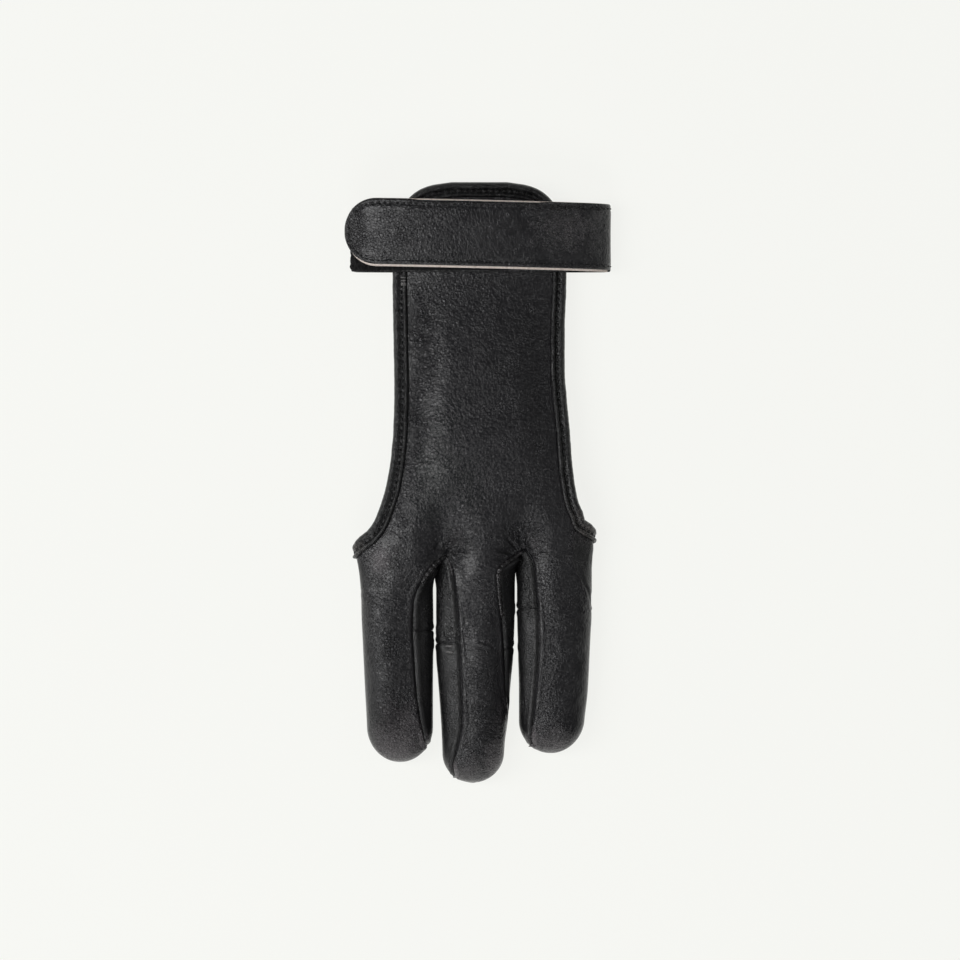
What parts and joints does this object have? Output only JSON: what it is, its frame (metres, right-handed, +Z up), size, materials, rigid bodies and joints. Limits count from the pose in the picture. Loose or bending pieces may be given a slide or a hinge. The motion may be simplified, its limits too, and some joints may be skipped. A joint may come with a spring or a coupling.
{
  "type": "archery glove",
  "caption": "Black leather archery glove covering the drawing fingers, with an open palm, a long back panel, bound edges and a wrist strap fastened over the tab.",
  "frame": {"origin": "on the resting surface, below the middle of the glove", "axes": "+Y from the fingertips to the wrist, +X towards the index finger, +Z up through the back of the glove"},
  "size_m": [0.0962, 0.2162, 0.0185],
  "materials": {
    "black_leather": "satin",
    "edge_binding": "satin",
    "backing_leather": "matte",
    "fastener_fabric": "matte"
  },
  "bodies": {
    "root": {"back_leather": "black_leather", "palm_leather": "black_leather", "ring_tip_pad": "black_leather", "middle_tip_pad": "black_leather", "index_tip_pad": "black_leather", "opening_binding": "edge_binding", "wrist_strap": "black_leather", "strap_backing": "backing_leather", "fastener_tape": "fastener_fabric"}
  },
  "joints": []
}
